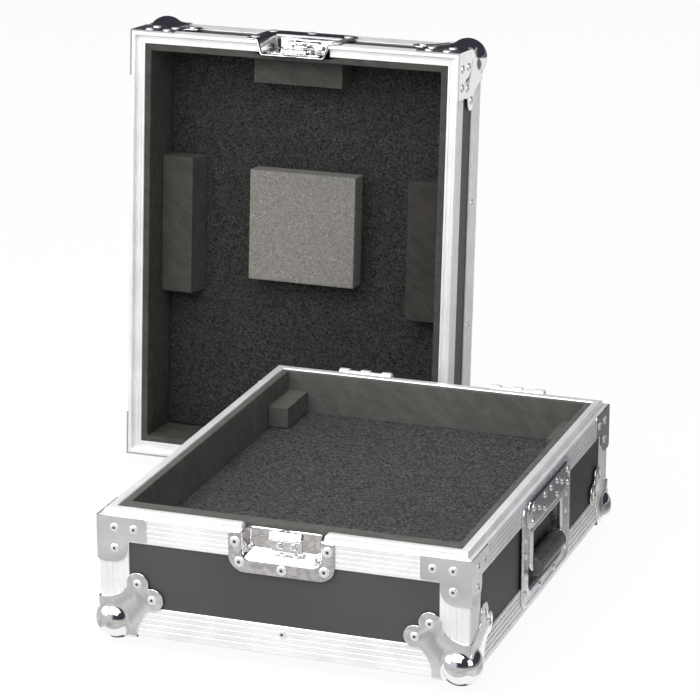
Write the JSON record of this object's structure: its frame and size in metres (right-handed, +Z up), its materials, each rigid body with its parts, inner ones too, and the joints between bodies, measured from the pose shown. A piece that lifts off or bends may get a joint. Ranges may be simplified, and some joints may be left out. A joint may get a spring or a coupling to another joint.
{
  "type": "mixer flight case",
  "caption": "Black laminated transport case for a table-top mixer: foam-lined base tray with bail handle and feet, and its foam-padded lid standing behind it, taken off.",
  "frame": {"origin": "on the floor, in the middle of the common footprint of base and standing lid", "axes": "+Z up; +X to the handle side of the base; +Y from the latch side of the base towards the lid standing behind it"},
  "size_m": [0.5868, 0.6336, 0.4991],
  "materials": {
    "laminate": "plywood with black, lightly grained laminate",
    "aluminium": "satin anodised, fine lengthwise ribs",
    "steel": "satin zinc-plated sheet",
    "chrome": "bright plated pressed sheet",
    "foam": "dark closed-cell foam",
    "pad_foam": "dark open-cell foam with fine specks",
    "grey_foam": "mid-grey open-cell foam with fine specks",
    "rubber": "matt black rubber"
  },
  "bodies": {
    "base": {"base_face_panel": "laminate", "base_wall_minus_y": "laminate", "base_wall_plus_y": "laminate", "base_wall_left": "laminate", "base_wall_right": "laminate", "base_edge_frame": "aluminium", "base_rim_frame": "aluminium", "base_ball_corner_latch_left": "chrome", "base_ball_corner_latch_right": "chrome", "base_ball_corner_hinge_right": "chrome", "base_ball_corner_hinge_left": "chrome", "base_rim_brace_latch_left": "steel", "base_rim_brace_latch_right": "steel", "base_rim_brace_hinge_right": "steel", "base_rim_brace_hinge_left": "steel", "base_latch_dish": "chrome", "base_catch_plate": "steel", "base_handle_dish": "chrome", "base_handle_cover": "steel", "base_hinge_left": "steel", "base_hinge_right": "steel", "base_foot_front_left": "rubber", "base_foot_front_right": "rubber", "base_foot_rear_left": "rubber", "base_foot_rear_right": "rubber", "base_foam_lining": "foam", "base_floor_pad": "pad_foam", "base_corner_block_left": "foam", "base_corner_block_right": "foam"},
    "handle": {"base_handle_bail": "chrome", "base_handle_grip": "rubber"},
    "lid": {"lid_face_panel": "laminate", "lid_wall_minus_y": "laminate", "lid_wall_plus_y": "laminate", "lid_wall_left": "laminate", "lid_wall_right": "laminate", "lid_edge_frame": "aluminium", "lid_rim_frame": "aluminium", "lid_ball_corner_latch_left": "chrome", "lid_ball_corner_latch_right": "chrome", "lid_ball_corner_hinge_right": "chrome", "lid_ball_corner_hinge_left": "chrome", "lid_rim_brace_latch_left": "steel", "lid_rim_brace_latch_right": "steel", "lid_rim_brace_hinge_right": "steel", "lid_rim_brace_hinge_left": "steel", "lid_latch_dish": "chrome", "lid_latch_mount": "steel", "lid_hinge_left": "steel", "lid_hinge_right": "steel", "lid_foam_lining": "foam", "lid_face_pad": "pad_foam", "lid_block_left": "foam", "lid_block_right": "foam", "lid_block_latch_side": "foam", "lid_block_centre": "grey_foam"},
    "latch_rotor": {"lid_latch_rotor": "chrome"},
    "latch_wing": {"lid_latch_wing": "chrome"},
    "latch_hook": {"lid_latch_hook": "steel"}
  },
  "joints": [
    {"name": "lid_lift", "type": "slide", "parent": "base", "child": "lid", "axis": [0, 0.2588, 0.9659], "range_m": [0, 0.18]},
    {"name": "handle_swing", "type": "hinge", "parent": "base", "child": "handle", "pos_m": [0.2824, -0.06096, 0.1], "axis": [0, -1, 0], "range_deg": [0, 90], "stiffness_Nm_per_rad": 0.25, "springref_deg": -20.05},
    {"name": "latch_turn", "type": "hinge", "parent": "lid", "child": "latch_rotor", "pos_m": [-0.0946, 0.25646, 0.48467], "axis": [0, 0.0802, 0.9968], "range_deg": [0, 180]},
    {"name": "latch_wing_fold", "type": "hinge", "parent": "latch_rotor", "child": "latch_wing", "pos_m": [-0.0946, 0.25679, 0.48876], "axis": [1, 0, 0], "range_deg": [0, 90]},
    {"name": "latch_hook_slide", "type": "slide", "parent": "lid", "child": "latch_hook", "axis": [0, -0.9968, 0.0802], "range_m": [0, 0.0091]}
  ],
  "couplings": [
    {"joint": "latch_hook_slide", "follows": "latch_turn", "m_per_rad": 0.0028648}
  ]
}
